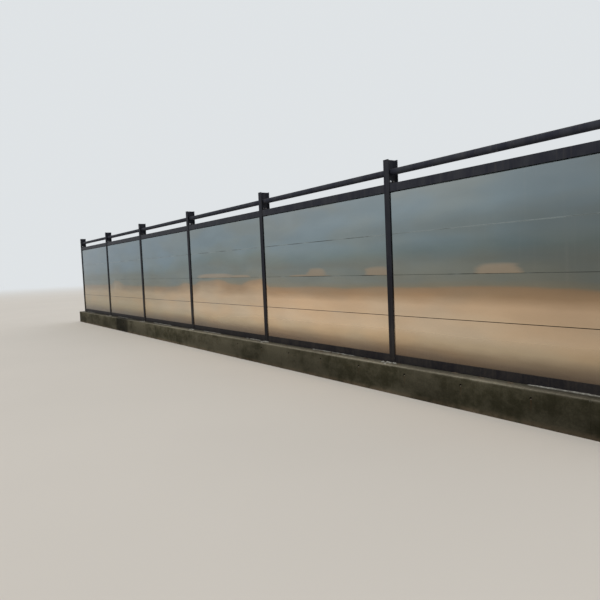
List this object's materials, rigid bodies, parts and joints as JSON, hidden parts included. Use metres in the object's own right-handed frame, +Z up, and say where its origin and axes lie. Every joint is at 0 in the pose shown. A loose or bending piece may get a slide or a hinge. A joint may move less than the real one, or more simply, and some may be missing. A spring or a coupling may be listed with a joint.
{
  "type": "steel construction hoarding",
  "caption": "Run of site hoarding: stacked bright steel boards between H-section posts and channel rails, with a pipe rail above, on a cast concrete plinth.",
  "frame": {"origin": "on the ground, under the middle of the plinth", "axes": "+X along the fence, -Y towards the street side seen in the picture, +Z up"},
  "size_m": [18.4, 0.45, 2.845],
  "materials": {
    "post_steel": "charcoal powder coat",
    "rail_steel": "charcoal powder coat",
    "pipe_steel": "charcoal powder coat",
    "board_steel": "bright smooth steel with dust",
    "plinth_concrete": "damp board-marked cast concrete"
  },
  "bodies": {
    "root": {"plinth": "plinth_concrete", "post_1": "post_steel", "post_2": "post_steel", "post_3": "post_steel", "post_4": "post_steel", "post_5": "post_steel", "post_6": "post_steel", "post_7": "post_steel", "bottom_rail_1": "rail_steel", "board_panel_1": "board_steel", "top_rail_1": "rail_steel", "pipe_rail_1": "pipe_steel", "bottom_rail_2": "rail_steel", "board_panel_2": "board_steel", "top_rail_2": "rail_steel", "pipe_rail_2": "pipe_steel", "bottom_rail_3": "rail_steel", "board_panel_3": "board_steel", "top_rail_3": "rail_steel", "pipe_rail_3": "pipe_steel", "bottom_rail_4": "rail_steel", "board_panel_4": "board_steel", "top_rail_4": "rail_steel", "pipe_rail_4": "pipe_steel", "bottom_rail_5": "rail_steel", "board_panel_5": "board_steel", "top_rail_5": "rail_steel", "pipe_rail_5": "pipe_steel", "bottom_rail_6": "rail_steel", "board_panel_6": "board_steel", "top_rail_6": "rail_steel", "pipe_rail_6": "pipe_steel"}
  },
  "joints": []
}
